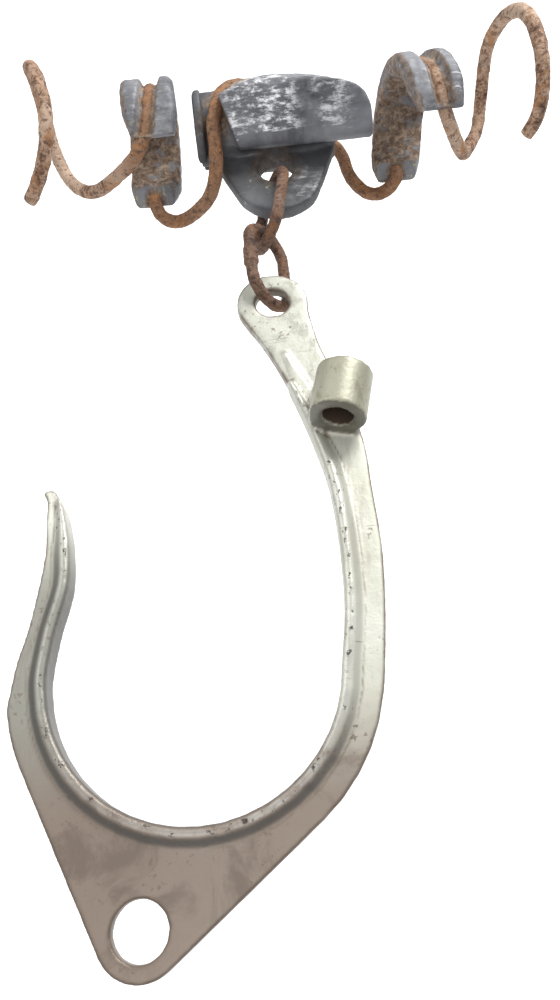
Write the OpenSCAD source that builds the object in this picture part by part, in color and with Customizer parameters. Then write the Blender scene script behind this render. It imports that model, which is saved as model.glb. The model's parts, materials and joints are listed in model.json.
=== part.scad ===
// A lifting hook hung by two chain links from a saddle that a spiral rod holds on a rope.
// The rope runs along X through the origin, Z is up and the front faces -Y.

/* [Rope seat] */
// Radius of the rope that the saddle and the shoes sit on
rope_r = 18; // [15:0.5:22]
// Wall of the hood over the rope
hood_wall = 7.5; // [6:0.5:10]
// Reach of the saddle to the left of its lug
saddle_left = 39; // [37:1:46]
// Reach of the saddle to the right of its lug
saddle_right = 50; // [44:1:60]

/* [Saddle block] */
// Depth of the heavy block on the front of the hood
block_depth = 12; // [9:0.5:17]
// Height of the face of the block
block_height = 31; // [27:1:37]
// How far the face of the block is turned down from the front
block_tilt = 52; // [40:1:56]

/* [Lug] */
// Thickness of the lug below the saddle
lug_t = 8; // [6:0.5:10]
// Radius of the rounded end of the lug
lug_end_r = 22; // [18:0.5:24]
// Width of the lug where it leaves the hood
lug_top_w = 64; // [54:1:70]
// Drop from the rope centre to the hole of the lug
lug_hole_drop = 35; // [34:0.5:44]
// Radius of the hole of the lug
lug_hole_r = 9; // [8.5:0.25:11]
// Drop from the rope centre to the lowest point of the lug
lug_drop = 63; // [60:1:72]

/* [Chain] */
// Wire diameter of the chain links
link_d = 6; // [5:0.25:6.5]
// Inside length of one link
link_pitch = 38; // [36:1:48]
// Inside width of one link
link_inner_w = 19; // [17:0.5:22]
// Turn of the upper link about its length
upper_turn = -64; // [-75:1:-60]
// Turn of the lower link about its length
lower_turn = 52; // [48:1:62]
// Lean of the upper link at rest
upper_lean = 12; // [0:1:20]

/* [Hook] */
// Thickness of the hook plate
plate_t = 6; // [5:0.5:7]
// Thickness of the hook through its rib
rib_t = 13; // [10:0.5:14]
// Width of the rib round the throat
rib_w = 7; // [5:0.5:9]
// Radius of the throat
throat_r = 54; // [46:1:62]
// Drop from the eye to the middle of the throat
throat_drop = 171; // [155:1:190]
// Distance of the throat to the left of the eye
throat_side = 28; // [22:1:34]
// Width of the plate round the bottom of the throat
bow_w = 15.5; // [12:0.5:18]
// Height of the point above the middle of the throat
point_h = 75.5; // [64:0.5:88]
// Radius of the eye that the lower link hangs in
eye_r = 7.9; // [7.8:0.1:9]
// Radius of the head round the eye
head_r = 16.5; // [15:0.5:20]

/* [Pull hole] */
// Drop from the middle of the throat to the pull hole
pull_drop = 85; // [80:1:110]
// Distance of the pull hole to the left of the middle of the throat
pull_side = 13.5; // [0:0.5:24]
// Radius of the pull hole
pull_r = 9.4; // [7:0.1:10]
// Radius of the plate round the pull hole
pull_lobe_r = 15; // [14:0.5:19]

/* [Pole socket] */
// Radius of the pole socket
socket_r = 12; // [10:0.5:14]
// Radius of the bore of the pole socket
socket_bore_r = 6.6; // [5:0.1:7]
// Length of the pole socket
socket_len = 23; // [20:1:30]
// Depth of the bore of the pole socket
socket_depth = 18; // [12:1:19]
// Lean of the pole socket from the length of the hook
socket_lean = 10; // [4:1:14]

/* [Spiral rod] */
// Diameter of the spiral rod
rod_d = 7.2; // [6:0.2:8]

/* [Shoes] */
// Width of a shoe along the rope
shoe_w = 27.5; // [20:0.5:32]
// Thickness of a shoe
shoe_t = 11.5; // [10:0.5:13]

/* [Hidden] */
$fn = 72;
cut = 1;              // what a cutter stands past the face it cuts
fit = 0.3;            // running gap between loose pieces

hood_r = rope_r + hood_wall;
hood_back = 190;      // the hood ends just past the middle of the back of the rope
hood_low = -102;      // left of here the hood reaches under the rope, where it carries the lug
hood_front = -32;     // right of the lug it covers the front of the rope only, from here ...
hood_right = 84;      // ... to here
flange_w = 4.5;       // the bank left of the groove for the rod
flange_r = hood_r + 1.5;
flange_low = -82;     // the bank stands only low on the front, from here ...
flange_top = 2;       // ... to here
groove_w = rod_d + 1.2;
groove_x = -saddle_left + flange_w + groove_w / 2;
block_above = 0.73;   // share of the block's face above the line through the rope
block_left = groove_x + groove_w / 2 + 0.6;   // the block stands just clear of the groove
rod_r = rope_r + shoe_t / 2;   // the rod lies in the middle of each shoe
seat_r = rope_r + rod_d / 2 + fit;   // and close to the rope inside the hood
lug_boss_r = lug_hole_r + 6;
groove_r = rope_r + 2.5;       // floor of the groove
lug_boss_t = lug_t + 1;
low_right = lug_top_w / 2;
hood_top_x = 2;

// ---- chain: every pose comes from the hole above it
link_bend = (link_inner_w + link_d) / 2;   // radius of a bend at the middle of its wire
link_legs = link_pitch - link_inner_w;
// Room left round a bend whose lowest wire lies s off the middle of a hole through a plate
function room(s, hole_r, t, turn) = min([
  for (a = [0:5:90])
    let (across = link_bend * cos(a), off = norm([across * cos(turn), s + link_bend * (1 - sin(a))]),
      y = abs(across * sin(turn)))
    y < t / 2 ? hole_r - off : off < hole_r ? norm([hole_r - off, y - t / 2]) : y - t / 2
]);
// How far off the middle of the hole the wire comes to rest
function seat(hole_r, t, turn, s) =
  room(s, hole_r, t, turn) >= link_d / 2 + fit || s < -hole_r ? s
  : seat(hole_r, t, turn, s - 0.05);
upper_seat = seat(lug_hole_r, lug_boss_t, upper_turn, lug_hole_r - link_d / 2);
lower_seat = seat(eye_r, plate_t, lower_turn, eye_r - link_d / 2);
upper_pivot = [0, 0, -lug_hole_drop];
upper_bend_drop = upper_seat + link_bend + link_legs;   // hole to the middle of the lower bend
lower_pivot = upper_pivot
  + (upper_bend_drop + link_bend) * [-sin(upper_lean), 0, -cos(upper_lean)]
  - [0, 0, link_bend - link_d - 2 * fit];
hook_pivot = lower_pivot - [0, 0, link_legs + link_bend + lower_seat];

// ---- hook outline, in its own frame: the eye is its origin
hook_lean = 5.5;      // the hook rests with its foot swung this much to the left
throat = [-throat_side, -throat_drop];
pull = throat - [pull_side, pull_drop];
bow_r = throat_r + bow_w;
function arc(c, r, from, to, step = 9) =
  let (n = ceil(abs(to - from) / step))
  [for (i = [0:n]) let (a = from + (to - from) * i / n) c + r * [cos(a), sin(a)]];
// Catmull-Rom curve through the points, without its first and last point
function curve(p, n = 3) = [
  for (i = [1:len(p) - 3], k = [0:n - 1]) let (t = k / n)
    0.5 * (2 * p[i] + (p[i + 1] - p[i - 1]) * t
      + (2 * p[i - 1] - 5 * p[i] + 4 * p[i + 1] - p[i + 2]) * t * t
      + (3 * p[i] - p[i - 1] - 3 * p[i + 1] + p[i + 2]) * t * t * t)
];
// Leg: share of the throat's drop, inner edge past the throat radius, width
leg = [
  [0.00, 0, 16], [0.14, 2, 15.5], [0.29, 1, 16.5], [0.43, -2, 17], [0.53, -6.5, 20],
  [0.65, -13.5, 22.5], [0.77, -22, 23], [0.87, -31, 25.5]
];
// Point: share of its height, inner edge past the throat radius, width
point = [
  [0.00, 0, 13], [0.20, -1.2, 11.5], [0.43, -4, 12.5], [0.63, -2.7, 10.5], [0.80, 0.2, 9],
  [0.93, 4.1, 6]
];
leg_in = [for (s = leg) throat + [throat_r + s[1], s[0] * throat_drop]];
leg_out = [for (s = leg) throat + [throat_r + s[1] + s[2], s[0] * throat_drop]];
point_in = [for (s = point) throat + [-throat_r - s[1], s[0] * point_h]];
point_out = [for (s = point) throat + [-throat_r - s[1] - s[2], s[0] * point_h]];
tip_r = 2.8;
tip = throat + [-throat_r - 9.2, point_h - tip_r];
function backwards(p) = [for (i = [len(p) - 1:-1:0]) p[i]];
// The two straight sides touch the bow and the lobe round the pull hole
side_dir = atan2(pull[1] - throat[1], pull[0] - throat[0]);
side_turn = acos((bow_r - pull_lobe_r) / norm(pull - throat));
right_side = side_dir + side_turn;
left_side = side_dir - side_turn;
tip_edge = arc(tip, tip_r, 165, 20, 30);
throat_edge = arc(throat, throat_r, 188, 352);
outer_edge = concat(
  curve(concat([head_r * [cos(20), sin(20)], [head_r, -4]], backwards(leg_out),
    [throat + bow_r * [cos(8), -sin(8)], throat + bow_r * [cos(17), -sin(17)]])),
  arc(throat, bow_r, -8, right_side),
  arc(pull, pull_lobe_r, right_side, left_side),
  arc(throat, bow_r, left_side, -168),
  curve(concat([throat - bow_r * [cos(16), sin(16)]], point_out, [tip_edge[0], tip_edge[1]]))
);
inner_edge = concat(
  curve(concat([tip], backwards(point_in), [throat_edge[0], throat_edge[1]])),
  throat_edge,
  curve(concat([throat_edge[len(throat_edge) - 1]], leg_in, [[-13, -10], [-head_r, 0]]))
);
head_edge = arc([0, 0], head_r, 205, 0);
hook_outline = concat(outer_edge, tip_edge, inner_edge, head_edge);
// The rib follows the inner edge from the point to the socket
rib_edge = [for (p = inner_edge) if (p[1] < -44) p];
function side_of(p, i) =
  let (t = p[min(i + 1, len(p) - 1)] - p[max(i - 1, 0)], n = norm(t)) [t[1], -t[0]] / n;
function rib_width(i) = rib_w * min(1, 0.35 + i / 9, 0.35 + (len(rib_edge) - 1 - i) / 9);
rib_outline = concat(rib_edge,
  backwards([for (i = [0:len(rib_edge) - 1]) rib_edge[i] + rib_width(i) * side_of(rib_edge, i)]));

socket_y = -(plate_t / 2 + socket_r - 1);
socket_mouth = [27.5, -71];
socket_face_pad = 1;

leg_rise = 3.5;       // how far the end of a shoe's long leg stands off the rope

// ---- spiral rod: hand-chosen [x, angle, radius] stations; 0 is the front, 90 the top
rod_stations = [
  [-126, -86, 40], [-117, -67, 39], [-111, -47, 39], [-109, -24, 39], [-112, 2, 40],
  [-119, 33, 40], [-122, 68, 37], [-123, 98, 34], [-122, 125, 31], [-118, 150, 28.5],
  [-111, 178, 25], [-101, 212, 22.4], [-92, 243, 22.4], [-84, 266, 24], [-76, 283, 26],
  [-69, 298, 26.5], [-64, 320, rod_r], [-61, 355, rod_r], [-60, 395, rod_r],
  [-61, 450, rod_r], [-63, 510, rod_r], [-66, 560, 27], [-66, 590, 31], [-62, 597, 40],
  [-53, 602, 44], [-42, 616, 44], [-34, 629, 42], [-30, 644, 36],
  [groove_x + 1, 662, 29], [groove_x + 1, 680, 25.5], [groove_x + 4, 705, seat_r],
  [groove_x + 8, 732, seat_r], [-15, 759, seat_r], [-5, 786, seat_r], [5, 812, seat_r],
  [15, 836, seat_r], [24, 856, seat_r], [31, 873, seat_r], [39, 888, 25], [43, 912, 32], [51, 930, 38], [60, 936, 37.5],
  [66, 944, 31], [67, 925, 27], [67, 885, rod_r], [70, 845, rod_r], [74, 805, rod_r],
  [79, 765, rod_r], [84, 720, rod_r], [86, 690, rod_r], [88, 670, rod_r], [91, 650, 25.5],
  [96, 625, 23.5], [101, 598, 22.4], [106, 565, 22.4], [112, 535, 24.5], [118, 512, 28],
  [121, 484, 30.5], [122, 457, 33.5], [123, 434, 38], [127, 411, 42], [130, 387, 43],
  [131, 362, 43], [132, 340, 42], [132, 321, 41], [131, 304, 40], [128, 292, 40],
  [124, 284, 40]
];

function on_rope(s) = [s[0], -s[2] * cos(s[1]), s[2] * sin(s[1])];
function smooth(p, n) = [
  for (i = [0:len(p) - 2], k = [0:n - 1])
    let (a = p[max(i - 1, 0)], b = p[i], c = p[i + 1], d = p[min(i + 2, len(p) - 1)], t = k / n)
    0.5 * (2 * b + (c - a) * t + (2 * a - 5 * b + 4 * c - d) * t * t
      + (3 * b - a - 3 * c + d) * t * t * t)
];

// A round rod along points, closed at both ends
module rod_along(p, d, sides) {
  n = len(p);
  function dir(i) = let (t = p[min(i + 1, n - 1)] - p[max(i - 1, 0)]) t / norm(t);
  // Each ring's first spoke is the last one's, brought square to the rod again
  function spokes(i, u) = i == n ? []
    : let (t = dir(i), v = u - (u * t) * t, w = v / norm(v)) concat([w], spokes(i + 1, w));
  us = spokes(0, [1, 0, 0]);
  points = [for (i = [0:n - 1], k = [0:sides - 1])
    let (u = us[i], v = cross(dir(i), u), a = 360 * k / sides)
      p[i] + d / 2 * (cos(a) * u + sin(a) * v)];
  walls = [for (i = [0:n - 2], k = [0:sides - 1]) let (k2 = (k + 1) % sides)
    each [[i * sides + k, i * sides + k2, (i + 1) * sides + k],
      [i * sides + k2, (i + 1) * sides + k2, (i + 1) * sides + k]]];
  caps = [for (k = [1:sides - 2])
    each [[0, k + 1, k], [(n - 1) * sides, (n - 1) * sides + k, (n - 1) * sides + k + 1]]];
  polyhedron(points, [for (f = concat(walls, caps)) [f[0], f[2], f[1]]]);
}

// A bar with rounded edges bent round the rope, from angle to angle, drifting along X
module shoe(stations) {
  corner = shoe_t * 0.3;
  inside = rope_r + fit;
  ring = [for (q = [0:3], k = [0:3])
    let (a = 90 * q + 30 * k,
      cx = (q == 0 || q == 3) ? shoe_w / 2 - corner : -shoe_w / 2 + corner,
      cy = q < 2 ? shoe_t - corner : corner)
    [cx + corner * cos(a), cy + corner * sin(a)]];
  m = len(ring);
  n = len(stations);
  points = [for (s = stations, q = ring)
    on_rope([s[0] + q[0] * s[2], s[1], inside + s[3] + q[1]])];
  walls = [for (i = [0:n - 2], k = [0:m - 1]) let (k2 = (k + 1) % m)
    each [[i * m + k, i * m + k2, (i + 1) * m + k],
      [i * m + k2, (i + 1) * m + k2, (i + 1) * m + k]]];
  caps = [for (k = [1:m - 2])
    each [[0, k + 1, k], [(n - 1) * m, (n - 1) * m + k, (n - 1) * m + k + 1]]];
  polyhedron(points, concat(walls, caps));
}

// Stations of a shoe: x, angle, share of its width, rise off the rope; its long leg stands off
function shoe_path(x0, x1, from, to, n = 20) = [
  for (i = [0:n]) let (t = i / n, e = min(1, 0.8 + 2 * t, 0.8 + 2 * (1 - t)))
    [x0 + (x1 - x0) * t, from + (to - from) * t, e, leg_rise * pow(max(0, 4 * t - 3), 2)]
];

module along_x(x0, x1) {
  translate([x0, 0, 0]) rotate([90, 0, 90]) linear_extrude(x1 - x0) children();
}

// Solid of revolution about the rope, from angle to angle; its outline is [radius, x] points
module round_rope(outline, from, to) {
  rotate([0, 90, 0]) rotate([0, 0, 270 - to]) rotate_extrude(angle = to - from) polygon(outline);
}

// The hood is fullest over its middle and thins towards its right end
function hood_crown(x) = hood_r - 5 * pow((x - hood_top_x) / 36, 2);
function hood_outline(x0, x1, less, n = 8) = concat(
  [for (i = [0:n]) let (x = x0 + (x1 - x0) * i / n) [hood_crown(x) - less, x]],
  [[rope_r - 2, x1], [rope_r - 2, x0]]);

// The block's section: a rounded bar whose face looks down and forwards
module block_section() {
  corner = block_depth * 0.36;
  back = rope_r - 4;
  face = hood_r + block_depth - 4;
  top = block_height * block_above;
  low = block_height - top;
  rotate(180 + block_tilt) {
    polygon(concat(
      [[back, low], [back, -top]],
      arc([face - corner, -top + corner], corner, -90, 0, 15),
      arc([face - corner, low - corner], corner, 0, 90, 15)));
  }
}
// Outline of the block's face, in shares of its length and height: its upper edge is crowned
face_shape = [
  [0.11, 0], [0, 0.84], [0.10, 0.94], [0.25, 1], [0.45, 1], [0.65, 0.96], [0.80, 0.89],
  [0.90, 0.80], [0.96, 0.68], [0.99, 0.50], [1, 0.28], [1, 0]
];
module face_cut(x0, x1) {
  reach = hood_r + block_depth + cut;
  low = block_height * (1 - block_above);
  rotate([180 + block_tilt, 0, 0]) translate([0, reach, 0]) rotate([90, 0, 0])
    linear_extrude(reach)
      polygon([for (p = face_shape) [x0 + p[0] * (x1 - x0), low - p[1] * block_height]]);
}

module lug_outline() {
  end = [0, -lug_drop + lug_end_r];
  top = [lug_top_w / 2, -rope_r - 2];
  reach = norm(top - end);
  lean = acos(lug_end_r / reach) - (90 - atan2(top[0] - end[0], top[1] - end[1]));
  polygon(concat([[-top[0], top[1]]], arc(end, lug_end_r, 180 + lean, 360 - lean, 10),
    [[top[0], top[1]], [top[0] - 6, -rope_r + 8], [-top[0] + 6, -rope_r + 8]]));
}

// Saddle casting: hood over the rope, heavy front block, flange and lug
module centre_saddle() {
  color("slategray") difference() {
    union() {
      round_rope(concat(
        [[groove_r, 1 - saddle_left], [groove_r, groove_x + groove_w / 2]],
        hood_outline(groove_x + groove_w / 2, low_right, 0),
        [[rope_r - 2, 1 - saddle_left]]), hood_low, hood_back);
      round_rope([[rope_r - 2, -saddle_left], [flange_r - 1.5, -saddle_left],
        [flange_r, 1.5 - saddle_left], [flange_r, flange_w - saddle_left],
        [rope_r - 2, flange_w - saddle_left]], flange_low, flange_top);
      round_rope(hood_outline(low_right - 4, saddle_right - 12, 0.4), hood_front, hood_right);
      intersection() {
        along_x(block_left, saddle_right) block_section();
        face_cut(block_left, saddle_right);
      }
      rotate([90, 0, 0]) translate([0, 0, -lug_t / 2]) linear_extrude(lug_t) lug_outline();
      translate([0, lug_boss_t / 2, -lug_hole_drop]) rotate([90, 0, 0])
        cylinder(r = lug_boss_r, h = lug_boss_t);
    }
    translate([-saddle_left - cut, 0, 0]) rotate([0, 90, 0])
      cylinder(r = rope_r, h = saddle_left + saddle_right + 2 * cut);
    translate([0, lug_boss_t, -lug_hole_drop]) rotate([90, 0, 0])
      cylinder(r = lug_hole_r, h = 2 * lug_boss_t);
  }
}

// One chain link: two bends and two legs, its upper bend centred on the origin, in the XZ plane
module chain_link() {
  module bend() {
    rotate([90, 0, 0]) rotate_extrude(angle = 180)
      translate([link_bend, 0]) circle(d = link_d, $fn = 36);
  }
  bend();
  translate([0, 0, -link_legs]) rotate([0, 180, 0]) bend();
  for (side = [-1, 1])
    translate([side * link_bend, 0, -link_legs]) cylinder(d = link_d, h = link_legs, $fn = 36);
}

module upper_link() {
  color("saddlebrown") translate(upper_pivot) rotate([0, upper_lean, 0])
    translate([0, 0, -upper_seat - link_bend]) rotate([0, 0, upper_turn]) chain_link();
}

module lower_link() {
  color("sienna") translate(lower_pivot) rotate([0, 0, lower_turn]) chain_link();
}

// Hook: plate with eye and pull hole, rib round the throat and a socket for a pole
module lifting_hook() {
  color("gainsboro") translate(hook_pivot) rotate([0, hook_lean, 0]) difference() {
    union() {
      rotate([90, 0, 0]) translate([0, 0, -plate_t / 2]) linear_extrude(plate_t)
        polygon(hook_outline);
      rotate([90, 0, 0]) translate([0, 0, -rib_t / 2]) linear_extrude(rib_t)
        polygon(rib_outline);
      translate([socket_mouth[0], socket_y, socket_mouth[1]]) rotate([0, socket_lean, 0]) {
        cylinder(r = socket_r, h = socket_len);
        translate([-socket_r, 0, 0])
          cube([2 * socket_r - 4, -socket_y - plate_t / 2 + socket_face_pad, socket_len]);
      }
    }
    translate([0, plate_t, 0]) rotate([90, 0, 0]) cylinder(r = eye_r, h = 2 * plate_t);
    translate([pull[0], plate_t, pull[1]]) rotate([90, 0, 0])
      cylinder(r = pull_r, h = 2 * plate_t);
    translate([socket_mouth[0], socket_y, socket_mouth[1]]) rotate([0, socket_lean, 0])
      translate([0, 0, -cut]) cylinder(r = socket_bore_r, h = socket_depth + cut);
  }
}

module left_shoe() {
  color("dimgray") shoe(shoe_path(-60, -66, -48, 224));
}

module right_shoe() {
  color("dimgray") shoe(shoe_path(86, 67, -50, 214));
}

module spiral_rod() {
  color("peru") rod_along(smooth([for (s = rod_stations) on_rope(s)], 3), rod_d, 10);
}

centre_saddle();
upper_link();
lower_link();
lifting_hook();
left_shoe();
right_shoe();
spiral_rod();
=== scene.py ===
# A lifting hook hung by two chain links from a saddle, held on a rope by a spiral rod with two shoes.
# Every length is in metres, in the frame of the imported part: +X along the rope, +Z up, -Y the front.
import json
import math
import bmesh
import bpy
from mathutils import Matrix, Vector, kdtree, noise


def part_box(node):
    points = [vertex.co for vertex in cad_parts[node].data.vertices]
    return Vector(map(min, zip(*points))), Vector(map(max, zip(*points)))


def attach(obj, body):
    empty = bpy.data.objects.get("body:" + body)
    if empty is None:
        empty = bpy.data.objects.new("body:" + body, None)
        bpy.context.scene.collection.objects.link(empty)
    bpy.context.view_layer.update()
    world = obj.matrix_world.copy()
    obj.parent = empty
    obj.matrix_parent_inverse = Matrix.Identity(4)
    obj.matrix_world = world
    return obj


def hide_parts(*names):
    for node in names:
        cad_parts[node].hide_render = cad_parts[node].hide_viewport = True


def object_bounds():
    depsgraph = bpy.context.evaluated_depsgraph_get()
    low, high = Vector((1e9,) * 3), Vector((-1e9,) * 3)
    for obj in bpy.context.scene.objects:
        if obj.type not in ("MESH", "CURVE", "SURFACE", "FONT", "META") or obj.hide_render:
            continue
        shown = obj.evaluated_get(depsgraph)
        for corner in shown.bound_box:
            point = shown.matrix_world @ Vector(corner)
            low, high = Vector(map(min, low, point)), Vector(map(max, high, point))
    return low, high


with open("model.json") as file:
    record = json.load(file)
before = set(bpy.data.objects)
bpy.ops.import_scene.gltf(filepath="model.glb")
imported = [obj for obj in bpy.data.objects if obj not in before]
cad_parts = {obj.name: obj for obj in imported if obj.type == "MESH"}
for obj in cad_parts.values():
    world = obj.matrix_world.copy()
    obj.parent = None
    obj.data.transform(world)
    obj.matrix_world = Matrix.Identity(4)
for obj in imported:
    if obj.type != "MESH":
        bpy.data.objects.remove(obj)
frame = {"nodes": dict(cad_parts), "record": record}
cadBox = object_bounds()
millimetre = 0.001
mounts = {mount["name"]: mount for mount in frame["record"]["mounts"]}
print("stage: frame loaded")


def jointPlace(name):
    joints = frame["record"]["behaviour"]["joints"]
    return Vector(next(joint for joint in joints if joint["name"] == name)["pos_m"])


# length of a mount in metres, from the millimetres of its record
def mountLength(name, key):
    return mounts[name]["dims"][key] * millimetre


# material nodes: each helper adds one node and returns its output
def newMaterial(name):
    material = bpy.data.materials.new(name)
    material.use_nodes = True
    nodes = material.node_tree.nodes
    nodes.clear()
    shader = nodes.new("ShaderNodeBsdfPrincipled")
    output = nodes.new("ShaderNodeOutputMaterial")
    material.node_tree.links.new(shader.outputs["BSDF"], output.inputs["Surface"])
    return material, shader


def link(material, source, target):
    material.node_tree.links.new(source, target)


# the shift keeps two materials from sharing one pattern
def objectPoint(material, scale=(1, 1, 1), turn=(0, 0, 0), shift=(0, 0, 0)):
    nodes = material.node_tree.nodes
    point = nodes.new("ShaderNodeTexCoord")
    mapping = nodes.new("ShaderNodeMapping")
    mapping.inputs["Scale"].default_value = scale
    mapping.inputs["Rotation"].default_value = turn
    mapping.inputs["Location"].default_value = shift
    link(material, point.outputs["Object"], mapping.inputs["Vector"])
    return mapping.outputs["Vector"]


def noiseOf(material, vector, scale, detail=4.0, rough=0.55, distortion=0.0):
    node = material.node_tree.nodes.new("ShaderNodeTexNoise")
    node.inputs["Scale"].default_value = scale
    node.inputs["Detail"].default_value = detail
    node.inputs["Roughness"].default_value = rough
    node.inputs["Distortion"].default_value = distortion
    link(material, vector, node.inputs["Vector"])
    return node.outputs["Fac"]


def cellsOf(material, vector, scale):
    node = material.node_tree.nodes.new("ShaderNodeTexVoronoi")
    node.inputs["Scale"].default_value = scale
    link(material, vector, node.inputs["Vector"])
    return node.outputs["Distance"]


# a grey ramp from 0 at low to 1 at high; low may be above high
def step(material, value, low, high):
    node = material.node_tree.nodes.new("ShaderNodeMapRange")
    node.interpolation_type = "SMOOTHSTEP"
    node.inputs["From Min"].default_value = min(low, high)
    node.inputs["From Max"].default_value = max(low, high)
    node.inputs["To Min"].default_value = 0.0 if low < high else 1.0
    node.inputs["To Max"].default_value = 1.0 if low < high else 0.0
    link(material, value, node.inputs["Value"])
    return node.outputs["Result"]


def calc(material, kind, a, b):
    node = material.node_tree.nodes.new("ShaderNodeMath")
    node.operation = kind
    node.use_clamp = True
    for socket, value in zip(node.inputs, (a, b)):
        if isinstance(value, (int, float)):
            socket.default_value = value
        else:
            link(material, value, socket)
    return node.outputs["Value"]


def times(material, a, b):
    return calc(material, "MULTIPLY", a, b)


def colours(material, value, stops):
    node = material.node_tree.nodes.new("ShaderNodeValToRGB")
    ramp = node.color_ramp
    while len(ramp.elements) < len(stops):
        ramp.elements.new(0.5)
    for element, (place, colour) in zip(ramp.elements, stops):
        element.position = place
        element.color = (*colour, 1)
    link(material, value, node.inputs["Fac"])
    return node.outputs["Color"]


def blendColour(material, amount, below, above):
    node = material.node_tree.nodes.new("ShaderNodeMix")
    node.data_type = "RGBA"
    factor, first, second = (node.inputs[index] for index in (0, 6, 7))
    for socket, value in ((factor, amount), (first, below), (second, above)):
        if isinstance(value, tuple):
            socket.default_value = (*value, 1)
        else:
            link(material, value, socket)
    return node.outputs[2]


# lays a colour over the base where the mask is, at most as thick as the strength
def coat(material, base, colour, mask, strength):
    return blendColour(material, times(material, mask, strength), base, colour)


def attribute(material, name):
    node = material.node_tree.nodes.new("ShaderNodeAttribute")
    node.attribute_name = name
    return node.outputs["Fac"]


def axisOf(material, vector, axis):
    node = material.node_tree.nodes.new("ShaderNodeSeparateXYZ")
    link(material, vector, node.inputs[0])
    return node.outputs[axis]


# heights are (pattern, strength, depth in metres), coarse or fine
def bump(material, shader, heights):
    last = None
    for height, strength, distance in heights:
        node = material.node_tree.nodes.new("ShaderNodeBump")
        node.inputs["Strength"].default_value = strength
        node.inputs["Distance"].default_value = distance
        link(material, height, node.inputs["Height"])
        if last:
            link(material, last, node.inputs["Normal"])
        last = node.outputs["Normal"]
    link(material, last, shader.inputs["Normal"])


# mesh work
def pick(piece):
    bpy.ops.object.select_all(action="DESELECT")
    piece.select_set(True)
    bpy.context.view_layer.objects.active = piece


# a merged copy of a CAD node, which is what a detailed piece grows from
def copyNode(node, name):
    source = frame["nodes"][node]
    piece = source.copy()
    piece.data = source.data.copy()
    piece.parent = None
    piece.name = name
    bpy.context.collection.objects.link(piece)
    piece.data.materials.clear()
    pick(piece)
    bpy.ops.object.mode_set(mode="EDIT")
    bpy.ops.mesh.select_all(action="SELECT")
    bpy.ops.mesh.remove_doubles(threshold=0.002 * millimetre)
    bpy.ops.mesh.normals_make_consistent(inside=False)
    bpy.ops.object.mode_set(mode="OBJECT")
    return piece


def applyNew(piece, kind, **settings):
    pick(piece)
    modifier = piece.modifiers.new(kind.lower(), kind)
    for key, value in settings.items():
        setattr(modifier, key, value)
    bpy.ops.object.modifier_apply(modifier=modifier.name)


def remesh(piece, voxel):
    applyNew(piece, "REMESH", mode="VOXEL", voxel_size=voxel, use_smooth_shade=True)


def soften(piece, turns, factor=0.5, group=""):
    applyNew(piece, "SMOOTH", factor=factor, iterations=turns, vertex_group=group)


def addGroup(piece, name, weightAt):
    group = piece.vertex_groups.new(name=name)
    for vertex in piece.data.vertices:
        weight = weightAt(vertex)
        if weight > 0.004:
            group.add([vertex.index], min(1.0, weight), "REPLACE")


# one number at each vertex under each name, for the materials to read
def addAttributes(piece, **valuesAt):
    for name, valueAt in valuesAt.items():
        layer = piece.data.attributes.new(name, "FLOAT", "POINT")
        for vertex in piece.data.vertices:
            layer.data[vertex.index].value = valueAt(vertex)


# 0 up to low, 1 from high; low may be above high
def smoothStep(low, high, value):
    share = max(0.0, min(1.0, (value - low) / (high - low)))
    return share * share * (3 - 2 * share)


# 1 up to full, 0 from gone
def fadeOut(full, gone, value):
    return 1.0 - smoothStep(full, gone, value)


# moves each vertex along its normal by the depth that the function gives there
def emboss(piece, depthAt):
    normals = [vertex.normal.copy() for vertex in piece.data.vertices]
    for vertex, normal in zip(piece.data.vertices, normals):
        vertex.co += normal * depthAt(vertex.co, normal)
    piece.data.update()


def rolling(place, size, octaves, finer=2.1):
    return noise.fractal(place / size, 0.8, finer, octaves, noise_basis="PERLIN_ORIGINAL")


# rusty skin: rolling lumps and sharp pits, from the piece's own dictionary
def rustSkin(place, sizes):
    depth = sizes["lumps"] * rolling(place, sizes["lumpSize"], 3)
    pit = noise.noise(place / sizes["pitSize"] + Vector((7.1, 3.3, 5.7)))
    return depth - sizes["pits"] * smoothStep(0.25, 0.6, pit)


def finishPiece(piece, node, body, material):
    piece.data.materials.append(material)
    pick(piece)
    bpy.ops.object.shade_smooth()
    piece.data.update()
    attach(piece, body)
    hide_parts(node)
    print("stage:", piece.name, len(piece.data.polygons), "faces")


# pale cast metal of the hook
paleCast = {
    "light": (0.62, 0.62, 0.54),
    "cream": (0.50, 0.495, 0.41),
    "head": (0.46, 0.465, 0.395),
    "limb": (0.195, 0.188, 0.160),
    "foot": (0.205, 0.156, 0.122),
    "stain": (0.105, 0.078, 0.060),
    "grime": (0.15, 0.115, 0.085),
    "worn": (0.42, 0.41, 0.375),
    "shade": (0.085, 0.08, 0.07),
    "boss": (0.275, 0.268, 0.185),
    "pitDark": (0.05, 0.04, 0.032),
    "bore": (0.10, 0.07, 0.05),
    "metallic": 0.35,
    "limbSide": (0.105, 0.02),        # off the hook's left side: where the limb's painted shade begins and is full
    "limbHeight": (0.172, 0.125),     # off the hook's lowest point, as the next two
    "headHeight": (0.180, 0.225),
    "footHeight": (0.092, 0.046),
}


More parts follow.
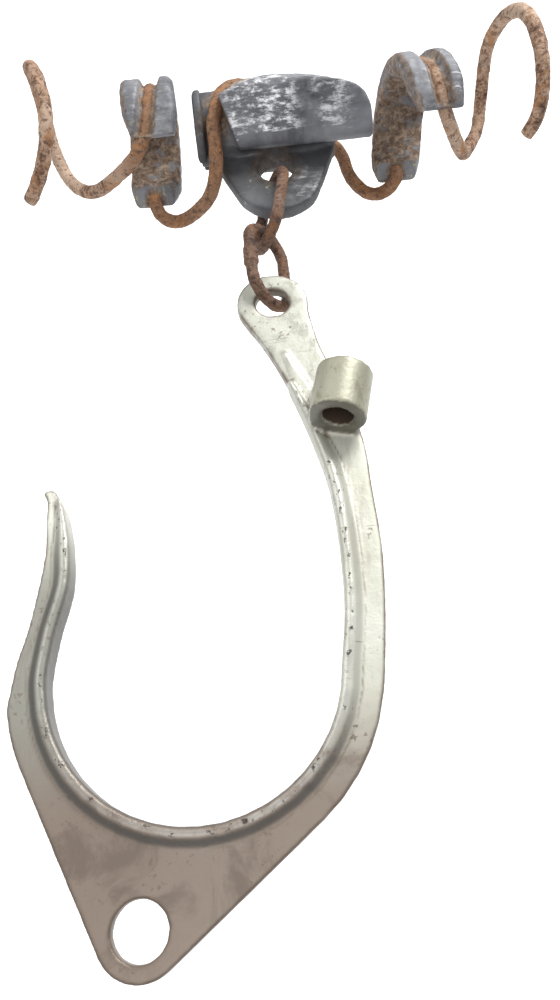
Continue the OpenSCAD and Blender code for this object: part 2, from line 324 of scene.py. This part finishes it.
def makePaleCast():
    cast, shader = newMaterial("paleCast")
    place = objectPoint(cast)
    height = axisOf(cast, place, "Z")
    side = axisOf(cast, place, "X")
    left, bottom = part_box("lifting_hook")[0][0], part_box("lifting_hook")[0][2]

    def between(value, start, key):
        first, last = paleCast[key]
        return step(cast, value, start + first, start + last)

    def patches(scale, detail, rough, low, high):
        return step(cast, noiseOf(cast, place, scale, detail, rough), low, high)

    cloud = noiseOf(cast, place, 22, 5, 0.6)
    base = blendColour(cast, step(cast, cloud, 0.35, 0.68), paleCast["light"], paleCast["cream"])
    # the limb with the point is painted darker than the leg as painted shade, and the foot is browner than
    # both
    limb = times(cast, between(side, left, "limbSide"), between(height, bottom, "limbHeight"))
    base = coat(cast, base, paleCast["limb"], limb, 0.85)
    head = between(height, bottom, "headHeight")
    base = coat(cast, base, paleCast["head"], head, 0.75)
    blotch = times(cast, head, patches(130, 6, 0.7, 0.50, 0.64))
    base = coat(cast, base, paleCast["limb"], blotch, 0.38)
    foot = between(height, bottom, "footHeight")
    base = coat(cast, base, paleCast["foot"], foot, 0.92)
    stain = noiseOf(cast, place, 45, 6, 0.65, 0.6)
    footStain = times(cast, foot, step(cast, stain, 0.48, 0.66))
    base = coat(cast, base, paleCast["stain"], footStain, 0.6)
    # streaks and freckles of grime
    streak = noiseOf(cast, objectPoint(cast, (1, 1, 0.22), (0, 0.35, 0)), 160, 5, 0.7)
    base = coat(cast, base, paleCast["grime"], step(cast, streak, 0.54, 0.70), 0.26)
    freckle = noiseOf(cast, place, 460, 3, 0.6)
    freckles = times(cast, step(cast, freckle, 0.60, 0.66), patches(40, 2, 0.5, 0.42, 0.58))
    base = coat(cast, base, paleCast["grime"], freckles, 0.8)
    # fine scratches across the leg
    scratch = noiseOf(cast, objectPoint(cast, (0.35, 1, 5.0), (0, 0.1, 0)), 210, 2, 0.5)
    scratches = times(cast, step(cast, scratch, 0.68, 0.72), patches(30, 2, 0.5, 0.48, 0.60))
    base = coat(cast, base, paleCast["limb"], scratches, 0.6)
    # painted shade and dirt lie on the rib's slope, thickest round the foot; its crest is rubbed bright
    crest = attribute(cast, "crest")
    dull = calc(cast, "MAXIMUM", foot, limb)
    slopeShadeAndDirt = calc(cast, "ADD", times(cast, dull, 0.55), 0.22)
    base = coat(cast, base, paleCast["shade"], attribute(cast, "slope"), slopeShadeAndDirt)
    rubStrength = calc(cast, "SUBTRACT", 0.75, times(cast, limb, 0.4))
    rubbed = times(cast, patches(95, 4, 0.65, 0.34, 0.58), rubStrength)
    base = coat(cast, base, paleCast["worn"], crest, rubbed)
    pits = patches(300, 4, 0.7, 0.57, 0.64)
    pitArea = times(cast, crest, patches(60, 3, 0.5, 0.36, 0.52))
    base = coat(cast, base, paleCast["pitDark"], pits, pitArea)
    # the plate is darker in patches along its outline
    rimDarkening = times(cast, attribute(cast, "rim"), patches(90, 4, 0.6, 0.30, 0.55))
    base = coat(cast, base, paleCast["grime"], rimDarkening, 0.85)
    # the socket's boss is yellower and freckled; its mouth face gets painted shade and its bore is painted
    # dark as painted shade
    boss = attribute(cast, "boss")
    base = coat(cast, base, paleCast["boss"], boss, 0.75)
    bossPits = times(cast, boss, step(cast, freckle, 0.58, 0.68))
    base = coat(cast, base, paleCast["grime"], bossPits, 0.45)
    base = coat(cast, base, paleCast["shade"], attribute(cast, "mouth"), 0.7)
    base = blendColour(cast, attribute(cast, "bore"), base, paleCast["bore"])
    link(cast, base, shader.inputs["Base Color"])
    shader.inputs["Metallic"].default_value = paleCast["metallic"]
    rough = calc(cast, "ADD", times(cast, cloud, 0.22), 0.34)
    rough = calc(cast, "SUBTRACT", rough, times(cast, crest, 0.12))
    link(cast, rough, shader.inputs["Roughness"])
    bump(cast, shader, [
        (noiseOf(cast, place, 900, 3, 0.6), 0.3, 0.3 * millimetre),
        (noiseOf(cast, place, 120, 4, 0.6), 0.35, 0.6 * millimetre),
        (calc(cast, "SUBTRACT", 1.0, times(cast, pits, pitArea)), 0.6, 0.6 * millimetre)])
    return cast


# rust of the chain and of the rod
linkTones = {
    "dark": (0.050, 0.028, 0.020),
    "middle": (0.125, 0.068, 0.044),
    "light": (0.20, 0.118, 0.078),
    "dust": (0.22, 0.145, 0.105),
    "orange": (0.23, 0.105, 0.04),
    "speck": (0.025, 0.018, 0.014),
    "dustAt": 0.55,      # the lower, the more dust
    "seed": 0.4,
}
rodTones = {
    "dark": (0.075, 0.040, 0.025),
    "middle": (0.245, 0.138, 0.083),
    "light": (0.48, 0.325, 0.225),
    "dust": (0.56, 0.415, 0.31),
    "orange": (0.36, 0.165, 0.062),
    "speck": (0.025, 0.018, 0.014),
    "dustAt": 0.47,
    "seed": 1.3,
    "hot": (0.215, 0.098, 0.040),      # the turns near the saddle are more orange, between these places
    "hotStrength": 0.75,
    "hotRight": (0.096, 0.070),
    "hotLeft": (-0.092, -0.066),
}


def makeRust(name, tones):
    rust, shader = newMaterial(name)
    place = objectPoint(rust)
    moved = objectPoint(rust, shift=(tones["seed"], tones["seed"] * 0.7, 0))
    base = colours(rust, noiseOf(rust, moved, 150, 9, 0.78, 0.4), [
        (0.40, tones["dark"]), (0.47, tones["middle"]), (0.54, tones["light"]), (0.62, tones["middle"])])
    dustFrom = tones["dustAt"]
    powder = step(rust, noiseOf(rust, moved, 26, 6, 0.66), dustFrom, dustFrom + 0.10)
    base = coat(rust, base, tones["dust"], powder, 0.7)
    if "hot" in tones:
        side = axisOf(rust, place, "X")
        nearSaddle = times(rust, step(rust, side, *tones["hotRight"]), step(rust, side, *tones["hotLeft"]))
        base = coat(rust, base, tones["hot"], nearSaddle, tones["hotStrength"])
    crust = step(rust, noiseOf(rust, moved, 300, 8, 0.78), 0.52, 0.58)
    base = coat(rust, base, tones["dark"], crust, 0.75)
    orange = step(rust, noiseOf(rust, moved, 90, 6, 0.75, 0.8), 0.53, 0.62)
    base = coat(rust, base, tones["orange"], orange, 0.7)
    specks = step(rust, cellsOf(rust, place, 520), 0.22, 0.07)
    base = coat(rust, base, tones["speck"], specks, 0.6)
    link(rust, base, shader.inputs["Base Color"])
    shader.inputs["Metallic"].default_value = 0.0
    shader.inputs["Specular IOR Level"].default_value = 0.3
    link(rust, calc(rust, "ADD", times(rust, powder, 0.14), 0.70), shader.inputs["Roughness"])
    bump(rust, shader, [
        (noiseOf(rust, moved, 260, 8, 0.74), 0.9, 1.2 * millimetre),
        (noiseOf(rust, moved, 1100, 4, 0.7), 0.5, 0.3 * millimetre)])
    return rust


# grey cast metal of the saddle and the shoes
leadTones = {
    "dark": (0.055, 0.056, 0.063),
    "middle": (0.170, 0.172, 0.184),
    "pale": (0.270, 0.273, 0.285),
    "bright": (0.86, 0.86, 0.87),
    "brown": (0.085, 0.052, 0.034),
    "tan": (0.20, 0.135, 0.088),
    "dust": (0.37, 0.285, 0.21),
    "lichen": (0.42, 0.40, 0.20),
    "soot": (0.034, 0.035, 0.036),
    "metallic": 0.3,
}


def makeLead(name, brownStrength, brightStrength):
    lead, shader = newMaterial(name)
    place = objectPoint(lead)
    base = colours(lead, noiseOf(lead, place, 34, 6, 0.62, 0.3), [
        (0.30, leadTones["dark"]), (0.52, leadTones["middle"]), (0.74, leadTones["pale"])])
    # brushed and rubbed patches, brightest where the saddle is handled; on the saddle's front faces they
    # are partly a painted highlight
    grain = noiseOf(lead, objectPoint(lead, (0.35, 1, 1), (0, 0.5, 0)), 330, 5, 0.75)
    patch = step(lead, noiseOf(lead, place, 110, 7, 0.78), 0.40, 0.56)
    wearAndHighlight = times(lead, times(lead, attribute(lead, "rubbed"), step(lead, grain, 0.44, 0.60)), patch)
    base = coat(lead, base, leadTones["bright"], wearAndHighlight, brightStrength)
    scratch = noiseOf(lead, objectPoint(lead, (0.10, 1, 3.2), (0, -0.45, 0)), 260, 2, 0.5)
    scratchArea = step(lead, noiseOf(lead, place, 40), 0.42, 0.6)
    scratches = times(lead, step(lead, scratch, 0.66, 0.71), scratchArea)
    base = coat(lead, base, leadTones["bright"], scratches, 0.5)
    # brown from the rope and the rod
    stained = attribute(lead, "stained")
    stains = times(lead, stained, step(lead, noiseOf(lead, place, 120, 6, 0.7), 0.36, 0.50))
    brown = colours(lead, noiseOf(lead, place, 260, 6, 0.75), [
        (0.38, leadTones["brown"]), (0.50, leadTones["tan"]), (0.62, leadTones["dust"])])
    base = coat(lead, base, brown, stains, brownStrength)
    # painted shade and shadow: the lug, the underside of the block and the left end are darkened
    base = coat(lead, base, leadTones["soot"], attribute(lead, "sooty"), 0.72)
    spotArea = step(lead, noiseOf(lead, place, 310, 3, 0.6), 0.60, 0.68)
    base = coat(lead, base, leadTones["lichen"], times(lead, attribute(lead, "spotted"), spotArea), 0.8)
    link(lead, base, shader.inputs["Base Color"])
    shader.inputs["Metallic"].default_value = leadTones["metallic"]
    rough = calc(lead, "SUBTRACT", 0.62, times(lead, wearAndHighlight, 0.25))
    rough = calc(lead, "ADD", rough, times(lead, stained, 0.2))
    link(lead, rough, shader.inputs["Roughness"])
    bump(lead, shader, [
        (noiseOf(lead, place, 190, 6, 0.68), 0.45, 0.7 * millimetre),
        (noiseOf(lead, place, 850, 4, 0.7), 0.35, 0.3 * millimetre),
        (scratches, 0.3, 0.3 * millimetre)])
    return lead


paleCastMaterial = makePaleCast()
linkRust = makeRust("linkRust", linkTones)
rodRust = makeRust("rodRust", rodTones)
saddleLead = makeLead("saddleLead", 0.85, 1.0)
shoeLead = makeLead("shoeLead", 0.95, 0.35)
print("stage: materials")


# the hook
hook = {
    "voxel": 0.85 * millimetre,
    "edgeTurns": 3,
    "slopeTurns": 5,
    "slopeSpan": (0.30, 1.15),      # shares of the rib's width where its outer slope begins and ends
    "innerRound": 0.30,             # share of the width that is rounded at the throat
    "innerHeight": 0.62,            # share of the rib's height at the throat's edge
    "footGap": 1.2 * millimetre,    # the rib's two long edges are told apart by this
    "leastWidth": 2.2 * millimetre,
    "grain": 0.06 * millimetre,
    "grainSize": 6 * millimetre,
    "dents": 0.16 * millimetre,
    "dentSize": 3.2 * millimetre,
    "rimSpan": (0.5 * millimetre, 1.6 * millimetre),
    "bossRadius": 12.7 * millimetre,
    "bossSpan": (-1 * millimetre, 26 * millimetre),
    "mouthDepth": 2 * millimetre,
    "boreSlack": 0.4 * millimetre,
    "boreMouth": 1.2 * millimetre,
    "lean": math.radians(5.5),
    "tongueTop": (5.6, -30.4),      # the rib's tapered end on the head, in millimetres from the eye
    "tongueFoot": (17.0, -57.0),
    "tongueHalfWidth": (1.5, 4.6),
    "tongueEdge": (0.9, 0.7),
    "tongueHeight": 1.3 * millimetre,
}


def treeOf(points):
    tree = kdtree.KDTree(len(points))
    for index, point in enumerate(points):
        tree.insert(point, index)
    tree.balance()
    return tree


def flat(point):
    return Vector((point.x, 0, point.z))


# points along the sharp edges that lie in the two flat faces at this depth
def edgeTrail(piece, depth, spacing=0.6 * millimetre, slack=0.02 * millimetre):
    shape = bmesh.new()
    shape.from_mesh(piece.data)
    trail = []
    for edge in shape.edges:
        a, b = (vertex.co for vertex in edge.verts)
        onFace = max(abs(abs(a.y) - depth), abs(abs(b.y) - depth)) < slack and a.y * b.y > 0
        if onFace and edge.calc_face_angle(0) > math.radians(30):
            parts = max(1, int((b - a).length / spacing))
            trail += [flat(a.lerp(b, k / parts)) for k in range(parts + 1)]
    shape.free()
    return trail


def makeHook():
    piece = copyNode("lifting_hook", "hookCasting")
    ribFace = max(vertex.co.y for vertex in piece.data.vertices)
    plateFace = mountLength("pull_hole", "length_mm") / 2
    socket = Vector(mounts["pole_socket"]["pos_m"])
    socketAxis = Vector(mounts["pole_socket"]["axis"])
    boreRadius = mountLength("pole_socket", "r_mm")
    boreDepth = mountLength("pole_socket", "length_mm")
    eye = jointPlace("hook_swing")
    outline = treeOf(edgeTrail(piece, plateFace))
    ribTrail = edgeTrail(piece, ribFace)
    innerTrail = [point for point in ribTrail if outline.find(point)[2] > hook["footGap"]]
    ribFoot = treeOf([point for point in ribTrail if outline.find(point)[2] <= hook["footGap"]])
    inner = treeOf(innerTrail)
    widths = [max(hook["leastWidth"], ribFoot.find(point)[2]) for point in innerTrail]
    remesh(piece, hook["voxel"])

    def alongSocket(point):
        return (point - socket).dot(-socketAxis)

    def offSocket(point):
        return (point - socket - socketAxis * (point - socket).dot(socketAxis)).length

    def nearSocket(point):
        low, high = hook["bossSpan"]
        return offSocket(point) < hook["bossRadius"] and low < alongSocket(point) < high

    # share of the rib's full height: round at the throat, then a long outer slope
    def ribShare(place):
        index, away = inner.find(flat(place))[1:]
        share = away / widths[index]
        low = hook["innerHeight"]
        return fadeOut(*hook["slopeSpan"], share) * (
            low + (1 - low) * smoothStep(0.0, hook["innerRound"], share))

    def tongueShare(place):
        side, drop = (place.x - eye.x) / millimetre, (place.z - eye.z) / millimetre
        turn = hook["lean"]
        here = Vector((side * math.cos(turn) - drop * math.sin(turn),
                       side * math.sin(turn) + drop * math.cos(turn)))
        top, foot = Vector(hook["tongueTop"]), Vector(hook["tongueFoot"])
        along = (here - top).dot(foot - top) / (foot - top).length_squared
        share = max(0.0, min(1.0, along))
        away = (here - top.lerp(foot, share)).length
        narrow, wide = hook["tongueHalfWidth"]
        within, beyond = hook["tongueEdge"]
        width = narrow + (wide - narrow) * share
        return fadeOut(width - within, width + beyond, away) * fadeOut(1.0, 1.1, along)

    # the CAD rib's flat top is worked into that shape
    for vertex in piece.data.vertices:
        place = vertex.co
        if abs(place.y) < plateFace - 0.1 * millimetre or nearSocket(place):
            continue
        height = (ribFace - plateFace) * ribShare(place)
        if place.y < 0:
            height = max(height, hook["tongueHeight"] * tongueShare(place))
        place.y = math.copysign(plateFace + height, place.y)
    remesh(piece, hook["voxel"])

    def slopeWeight(vertex):
        if abs(vertex.co.y) < plateFace - 0.4 * millimetre or nearSocket(vertex.co):
            return 0.0
        return smoothStep(0.0, 0.1, ribShare(vertex.co))

    addGroup(piece, "slopeGroup", slopeWeight)
    soften(piece, hook["slopeTurns"], group="slopeGroup")
    soften(piece, hook["edgeTurns"])

    def castSkin(place, normal):
        depth = hook["grain"] * rolling(place, hook["grainSize"], 3, 2.0)
        dent = smoothStep(0.25, 0.55, noise.noise(place / hook["dentSize"]))
        return depth - hook["dents"] * dent * smoothStep(0.7, 0.95, ribShare(place))

    emboss(piece, castSkin)

    def crestAt(vertex):
        if nearSocket(vertex.co):
            return 0.0
        return smoothStep(0.78, 0.97, ribShare(vertex.co)) * (
            smoothStep(plateFace, ribFace, abs(vertex.co.y)))

    def rimAt(vertex):
        away = outline.find(flat(vertex.co))[2]
        return fadeOut(*hook["rimSpan"], away) * fadeOut(0.0, 0.05, ribShare(vertex.co))

    # painted shade and dirt on the rib's outer slope and on the tongue's sides
    def slopeShadeAndDirtAt(vertex):
        if nearSocket(vertex.co):
            return 0.0
        share = ribShare(vertex.co)
        tongue = tongueShare(vertex.co) if vertex.co.y < 0 else 0.0
        return max(smoothStep(0.02, 0.25, share) * fadeOut(0.6, 0.85, share),
                   smoothStep(0.05, 0.35, tongue) * fadeOut(0.6, 0.95, tongue))

    def bossAt(vertex):
        return 1.0 if vertex.co.y < -plateFace - millimetre and nearSocket(vertex.co) else 0.0

    # painted shade on the boss's mouth face
    def mouthShadeAt(vertex):
        facesOut = vertex.normal.dot(socketAxis) > 0.6
        return bossAt(vertex) if facesOut and alongSocket(vertex.co) < hook["mouthDepth"] else 0.0

    # painted shade inside the socket's bore
    def boreAt(vertex):
        along = alongSocket(vertex.co)
        inside = offSocket(vertex.co) < boreRadius + hook["boreSlack"]
        return 1.0 if inside and hook["boreMouth"] < along < boreDepth + millimetre else 0.0

    addAttributes(piece, crest=crestAt, rim=rimAt, slope=slopeShadeAndDirtAt, boss=bossAt, mouth=mouthShadeAt, bore=boreAt)
    finishPiece(piece, "lifting_hook", "hook", paleCastMaterial)


makeHook()


# the chain
chain = {
    "voxel": 0.42 * millimetre,
    "lumps": 0.30 * millimetre,
    "lumpSize": 3.6 * millimetre,
    "pits": 0.36 * millimetre,
    "pitSize": 1.6 * millimetre,
    "shrink": 0.15 * millimetre,        # leaves room for the lumps
    "lapStep": 0.9 * millimetre,        # a lapped weld swells the left leg about its middle
    "lapSide": 4 * millimetre,
    "lapSpan": (-6 * millimetre, -5 * millimetre, 0, 7 * millimetre),
    "lapSink": 0.2 * millimetre,
}


def makeLink(node, name, body, shift):
    piece = copyNode(node, name)
    low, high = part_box(node)
    middle = (Vector(low) + Vector(high)) / 2
    remesh(piece, chain["voxel"])

    def worn(place, normal):
        depth = rustSkin(place + shift, chain)
        above = place.z - middle.z
        begin, full, thin, end = chain["lapSpan"]
        if place.x < middle.x - chain["lapSide"] and begin < above < end:
            lap = smoothStep(begin, full, above) * fadeOut(thin, end, above)
            depth += chain["lapStep"] * lap - chain["lapSink"]
        return depth - chain["shrink"]

    emboss(piece, worn)
    soften(piece, 1, 0.4)
    finishPiece(piece, node, body, linkRust)


makeLink("upper_link", "upperChainLink", "upper_chain", Vector((0.03, 0, 0)))
makeLink("lower_link", "lowerChainLink", "lower_chain", Vector((0, 0.05, 0)))


# the spiral rod
rod = {
    "voxel": 0.62 * millimetre,
    "rounding": 3,
    "swell": 0.16 * millimetre,         # gives back what the rounding takes
    "lumps": 0.24 * millimetre,
    "lumpSize": 4.5 * millimetre,
    "pits": 0.36 * millimetre,
    "pitSize": 1.9 * millimetre,
}


def makeRod():
    piece = copyNode("spiral_rod", "spiralRod")
    applyNew(piece, "SUBSURF", levels=1, render_levels=1)
    remesh(piece, rod["voxel"])
    soften(piece, rod["rounding"])
    emboss(piece, lambda place, normal: rod["swell"] + rustSkin(place, rod))
    finishPiece(piece, "spiral_rod", "rope_grip", rodRust)
    return piece


rodPiece = makeRod()
rodSkin = treeOf([vertex.co for vertex in rodPiece.data.vertices])


# the shoes
shoe = {
    "voxel": 0.75 * millimetre,
    "edgeTurns": 9,
    "grooveFloor": 8.0 * millimetre,        # off the rope
    "grooveSide": (0.1 * millimetre, 1.9 * millimetre),
    "grooveAngles": (-52, -40, 100, 125),   # round the rope: begins, full, thins out, ends
    "grooveSkin": 3 * millimetre,           # nothing nearer to the rope is moved
    "rodReach": 28.5 * millimetre,          # the rod's turns within this are the ones in the shoe
    "unrollRadius": 26 * millimetre,
    "strandPitch": 3.4 * millimetre,
    "strandSlant": (0.75, 0.66),
    "strandDepth": 0.34 * millimetre,
    "grain": 0.34 * millimetre,
    "grainSize": 5 * millimetre,
    "rustSpan": (0.3 * millimetre, 3.5 * millimetre),
}
ropeRadius = mountLength("cable_seat", "r_mm")


# angle round the rope in degrees, 0 at the front and 90 at the top
def aroundRope(place):
    return math.degrees(math.atan2(place.z, -place.y))


def offRope(place):
    return math.hypot(place.y, place.z)


def outwardAt(place):
    return Vector((0, place.y, place.z)).normalized()


# a place round the rope rolled out flat
def unrolled(place):
    return Vector((place.x, math.radians(aroundRope(place)) * shoe["unrollRadius"], 0))


def makeShoe(node, name, shift):
    piece = copyNode(node, name)
    remesh(piece, shoe["voxel"])
    soften(piece, shoe["edgeTurns"])

    # the rope's strands have printed the inner face with slanting ridges
    def printed(place, normal):
        depth = shoe["grain"] * rolling(place + shift, shoe["grainSize"], 4)
        turn = math.radians(aroundRope(place)) * ropeRadius
        alongShare, roundShare = shoe["strandSlant"]
        slant = place.x * alongShare + turn * roundShare
        wave = math.sin(2 * math.pi * slant / shoe["strandPitch"])
        inner = smoothStep(0.2, 0.7, -normal.dot(outwardAt(place)))
        return depth + inner * shoe["strandDepth"] * (wave - 0.6)

    emboss(piece, printed)

    # a groove on the front and over the top leaves the rod showing between two banks
    low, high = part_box(node)
    buried = treeOf([unrolled(vertex.co) for vertex in rodPiece.data.vertices
                     if low[0] < vertex.co.x < high[0] and offRope(vertex.co) < shoe["rodReach"]])
    begin, full, thin, end = shoe["grooveAngles"]

    def grooveShare(place):
        angle = aroundRope(place)
        if offRope(place) < ropeRadius + shoe["grooveSkin"] or not begin < angle < end:
            return 0.0
        near = fadeOut(*shoe["grooveSide"], buried.find(unrolled(place))[2])
        return near * smoothStep(begin, full, angle) * fadeOut(thin, end, angle)

    for vertex in piece.data.vertices:
        excess = max(0.0, offRope(vertex.co) - ropeRadius - shoe["grooveFloor"])
        vertex.co -= outwardAt(vertex.co) * excess * grooveShare(vertex.co)
    piece.data.update()
    soften(piece, 2)

    def stainAt(vertex):
        place = vertex.co
        inner = smoothStep(0.0, 0.5, -vertex.normal.dot(outwardAt(place)))
        rodNear = fadeOut(*shoe["rustSpan"], rodSkin.find(place)[2])
        side = 0.75 if vertex.normal.x < -0.3 else 0.0
        return min(1.0, inner + rodNear + side)

    def rubAt(vertex):
        onBank = -60 < aroundRope(vertex.co) < 90 and vertex.normal.y < 0.2
        return 0.35 if onBank else 0.1

    # the long leg's end is the spotted one
    def spotAt(vertex):
        onEnd = vertex.co.z < -10 * millimetre and vertex.co.y > -12 * millimetre
        return 0.9 if onEnd else 0.15

    addAttributes(piece, stained=stainAt, rubbed=rubAt, spotted=spotAt)
    finishPiece(piece, node, "rope_grip", shoeLead)


makeShoe("left_shoe", "leftShoe", Vector((0.02, 0, 0)))
makeShoe("right_shoe", "rightShoe", Vector((0, 0.04, 0)))


# the saddle; a span gives where a mark is full and where it is gone
saddle = {
    "voxel": 0.85 * millimetre,
    "edgeTurns": 10,
    "grain": 0.22 * millimetre,
    "grainSize": 9 * millimetre,
    "blockFront": -20 * millimetre,
    "brightPlace": 34 * millimetre,         # off the saddle's left end
    "brightSpan": (10 * millimetre, 24 * millimetre),
    "palePlace": 20 * millimetre,           # off its right end
    "paleSpan": (4 * millimetre, 14 * millimetre),
    "paleStrength": 0.6,
    "cornerPlace": (0.014, 0, -0.012),      # off the lug's hole, as the spots
    "cornerSpan": (4 * millimetre, 16 * millimetre),
    "cornerStrength": 0.7,
    "spotPlace": (-0.006, 0, -0.008),
    "spotSpan": (4 * millimetre, 12 * millimetre),
    "grooveSpan": (2 * millimetre, 7 * millimetre),
    "holeSpan": (11.5 * millimetre, 15.5 * millimetre),
    "lugHalf": 9 * millimetre,
    "lugTop": (-19 * millimetre, -24 * millimetre),
    "lipShade": (-58 * millimetre, -46 * millimetre),
    "bankSpan": (4 * millimetre, 12 * millimetre),
}


def makeSaddle():
    piece = copyNode("centre_saddle", "centreSaddle")
    low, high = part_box("centre_saddle")
    lugHole = jointPlace("lug_swing")
    remesh(piece, saddle["voxel"])
    soften(piece, saddle["edgeTurns"])
    emboss(piece, lambda place, normal: saddle["grain"] * rolling(place, saddle["grainSize"], 4))

    def offHole(place, shift=(0, 0, 0)):
        return (flat(place) - flat(lugHole) - Vector(shift)).length

    def onLug(place):
        return abs(place.y) < saddle["lugHalf"]

    # bright patches on the front faces: partly wear, partly a painted highlight
    def rubAt(vertex):
        place = vertex.co
        bright = fadeOut(*saddle["brightSpan"], abs(place.x - low[0] - saddle["brightPlace"]))
        pale = fadeOut(*saddle["paleSpan"], abs(place.x - high[0] + saddle["palePlace"]))
        corner = fadeOut(*saddle["cornerSpan"], offHole(place, saddle["cornerPlace"]))
        front = max(bright, saddle["paleStrength"] * pale) if place.y < saddle["blockFront"] else 0.0
        return smoothStep(0.1, 0.5, -vertex.normal.y) * max(front, saddle["cornerStrength"] * corner)

    def stainAt(vertex):
        place = vertex.co
        onSeat = offRope(place) < ropeRadius + millimetre
        inner = smoothStep(0.2, 0.7, -vertex.normal.dot(outwardAt(place))) if onSeat else 0.0
        groove = fadeOut(*saddle["grooveSpan"], rodSkin.find(place)[2])
        hole = fadeOut(*saddle["holeSpan"], offHole(place)) if onLug(place) else 0.0
        return min(1.0, max(inner, groove, hole))

    # painted shade on the lug, a painted shadow under the block and painted shade at the bank by the
    # groove
    def paintedShadeAt(vertex):
        place = vertex.co
        lug = smoothStep(*saddle["lugTop"], place.z) if onLug(place) else 0.0
        underBlock = smoothStep(*saddle["lipShade"], place.z) if lug else 0.0
        bank = fadeOut(*saddle["bankSpan"], place.x - low[0])
        return min(1.0, 0.62 * lug + 0.38 * underBlock + 0.8 * bank)

    def spotAt(vertex):
        return fadeOut(*saddle["spotSpan"], offHole(vertex.co, saddle["spotPlace"]))

    addAttributes(piece, stained=stainAt, rubbed=rubAt, spotted=spotAt, sooty=paintedShadeAt)
    finishPiece(piece, "centre_saddle", "rope_grip", saddleLead)


makeSaddle()


# the stage: a light is its place, its size and its power
stage = {
    "backdropGap": 0.40,      # far enough for the hook to swing back in front of it
    "backdropSize": 3.0,
    "backdropColour": (0.90, 0.90, 0.90),
    "backdropGlow": 0.42,
    "worldColour": (0.95, 0.96, 1.0),
    "worldStrength": 0.55,
    "lights": {
        "keyLight": ((0.50, -0.68, 0.55), 0.6, 14),
        "fillLight": ((-0.70, -0.75, 0.25), 0.9, 4),
        "lowLight": ((-0.15, -0.70, -0.70), 0.9, 3.2),
        "backLight": ((0.3, 0.9, 0.5), 0.9, 7),
    },
}


def makeBackdrop():
    low, high = cadBox
    bpy.ops.mesh.primitive_plane_add(size=stage["backdropSize"], location=(
        (low[0] + high[0]) / 2, high[1] + stage["backdropGap"], (low[2] + high[2]) / 2),
        rotation=(math.radians(90), 0, 0))
    sheet = bpy.context.active_object
    sheet.name = "paleFloor"
    material, shader = newMaterial("paleFloor")
    shader.inputs["Base Color"].default_value = (*stage["backdropColour"], 1)
    shader.inputs["Roughness"].default_value = 0.9
    shader.inputs["Emission Color"].default_value = (1, 1, 1, 1)
    shader.inputs["Emission Strength"].default_value = stage["backdropGlow"]
    # seen from behind, the sheet is clear
    nodes = material.node_tree.nodes
    clear = nodes.new("ShaderNodeBsdfTransparent")
    side = nodes.new("ShaderNodeNewGeometry")
    mix = nodes.new("ShaderNodeMixShader")
    link(material, side.outputs["Backfacing"], mix.inputs[0])
    link(material, shader.outputs["BSDF"], mix.inputs[1])
    link(material, clear.outputs["BSDF"], mix.inputs[2])
    output = next(node for node in nodes if node.type == "OUTPUT_MATERIAL")
    link(material, mix.outputs["Shader"], output.inputs["Surface"])
    sheet.data.materials.append(material)


def addLight(name, place, target, size, power):
    lamp = bpy.data.lights.new(name, "AREA")
    lamp.shape = "DISK"
    lamp.size = size
    lamp.energy = power
    holder = bpy.data.objects.new(name, lamp)
    bpy.context.collection.objects.link(holder)
    holder.location = place
    holder.rotation_euler = (Vector(target) - Vector(place)).to_track_quat("-Z", "Y").to_euler()


def makeWorld():
    world = bpy.data.worlds.new("studio")
    world.use_nodes = True
    background = world.node_tree.nodes["Background"]
    background.inputs["Color"].default_value = (*stage["worldColour"], 1)
    background.inputs["Strength"].default_value = stage["worldStrength"]
    bpy.context.scene.world = world
    bpy.context.scene.view_settings.view_transform = "Standard"


# the camera stands low in front and looks up along the hook
camera = {
    "place": (-0.0176, -0.2911, -0.3686),
    "forward": (0.0046, 0.8921, 0.4519),
    "up": (0.1051, -0.4498, 0.8869),
    "lens": 28.8,
    "sensor": 36,
    "nearest": 0.01,
}


def makeCamera():
    data = bpy.data.cameras.new("camera")
    data.lens = camera["lens"]
    data.sensor_width = camera["sensor"]
    data.clip_start = camera["nearest"]
    holder = bpy.data.objects.new("camera", data)
    bpy.context.collection.objects.link(holder)
    back = -Vector(camera["forward"]).normalized()
    right = Vector(camera["up"]).cross(back).normalized()
    turn = Matrix((right, back.cross(right), back)).transposed()
    holder.matrix_world = Matrix.Translation(camera["place"]) @ turn.to_4x4()
    bpy.context.scene.camera = holder


makeBackdrop()
makeCamera()
middleOfPart = tuple((a + b) / 2 for a, b in zip(*cadBox))
for lightName, (lightPlace, lightSize, lightPower) in stage["lights"].items():
    addLight(lightName, lightPlace, middleOfPart, lightSize, lightPower)
makeWorld()
print("stage: camera and lights")
